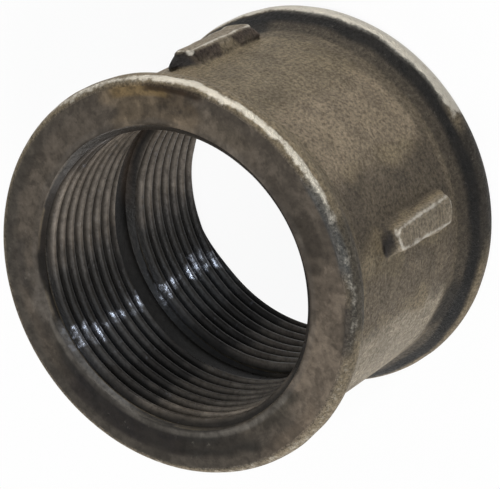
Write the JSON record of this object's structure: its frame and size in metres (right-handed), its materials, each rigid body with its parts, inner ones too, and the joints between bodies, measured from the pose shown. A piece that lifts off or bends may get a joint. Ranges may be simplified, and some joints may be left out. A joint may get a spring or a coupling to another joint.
{
  "type": "cast iron pipe coupling",
  "caption": "Short ribbed socket in cast iron with a rolled band at each end and a parallel pipe thread in each mouth; joins two pipes end to end.",
  "frame": {"origin": "middle of the machined end face that the coupling stands on", "axes": "+Z along the bore, away from the face it stands on; one rib lies on +X and the others at quarter turns from it"},
  "size_m": [0.062, 0.062, 0.0449],
  "materials": {
    "cast_iron": "sand-cast skin outside, machined end faces, dark oiled thread"
  },
  "bodies": {
    "root": {"pipe_coupling": "cast_iron"}
  },
  "joints": []
}
